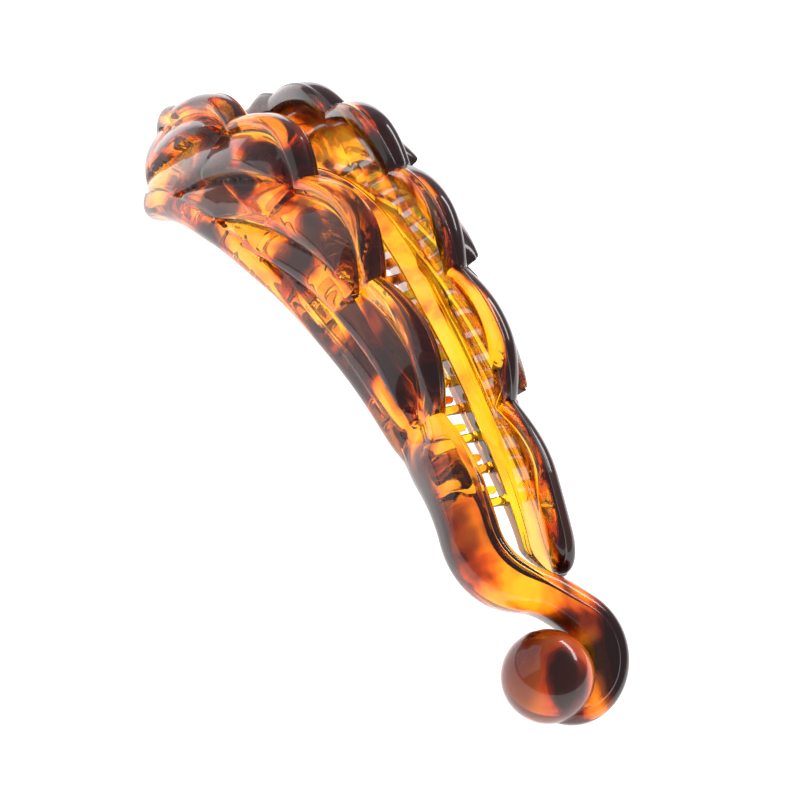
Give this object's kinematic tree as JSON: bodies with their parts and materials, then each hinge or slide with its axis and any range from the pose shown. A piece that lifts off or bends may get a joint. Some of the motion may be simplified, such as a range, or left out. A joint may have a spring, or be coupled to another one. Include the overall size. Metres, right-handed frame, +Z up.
{
  "type": "banana hair clip",
  "caption": "Arched banana hair clip: two scalloped comb arms on a hinge pin, one ending in a curled hook with a ball.",
  "frame": {"origin": "centre of the bounding box, on the plane the clip rests on", "axes": "+X along the clip from the hinge towards the hook; +Y from the hook arm towards the catch arm; +Z up, out of the arch"},
  "size_m": [0.124, 0.0332, 0.0382],
  "materials": {
    "hook_arm_amber": "polished, clear amber with dark brown swirls",
    "catch_arm_amber": "polished, clear amber with dark brown swirls",
    "pin_amber": "smooth, dark amber"
  },
  "bodies": {
    "hook_side": {"hook_arm": "hook_arm_amber", "hinge_pin": "pin_amber"},
    "catch_side": {"catch_arm": "catch_arm_amber"}
  },
  "joints": [
    {"name": "arm_hinge", "type": "hinge", "parent": "hook_side", "child": "catch_side", "pos_m": [-0.06269, 0, 0.01055], "axis": [-0.766, 0, 0.6429], "range_deg": [0, 75]}
  ]
}
